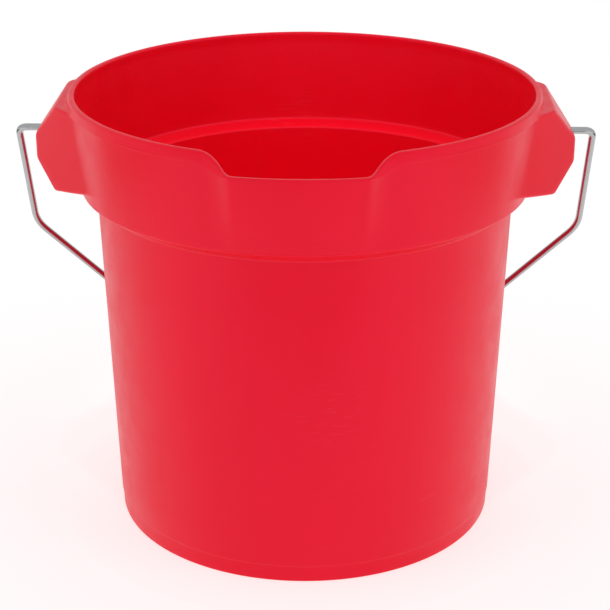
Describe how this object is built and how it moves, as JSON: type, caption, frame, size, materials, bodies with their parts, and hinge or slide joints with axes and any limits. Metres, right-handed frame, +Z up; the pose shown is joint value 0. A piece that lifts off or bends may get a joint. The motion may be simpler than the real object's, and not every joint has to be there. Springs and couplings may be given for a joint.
{
  "type": "wash bucket",
  "caption": "Round tapered plastic wash bucket with a stepped-out collar, a pouring spout in the rim, hollow handle lugs and a swinging wire bail.",
  "frame": {"origin": "on the bucket's vertical axis, in the plane of the foot ring that it stands on", "axes": "+Z up, the pouring spout faces -Y, the handle lugs and the bail's hinge axis lie along X, and the bail hangs at the +Y side at rest"},
  "size_m": [0.332, 0.2718, 0.256],
  "materials": {
    "red_plastic": "satin moulded polyethylene",
    "plated_wire": "bright zinc-plated drawn wire"
  },
  "bodies": {
    "bucket": {"bucket_shell": "red_plastic"},
    "bail": {"wire_bail": "plated_wire"}
  },
  "joints": [
    {"name": "bail_hinge", "type": "hinge", "parent": "bucket", "child": "bail", "pos_m": [0, 0, 0.2312], "axis": [1, 0, 0], "range_deg": [0, 304]}
  ]
}
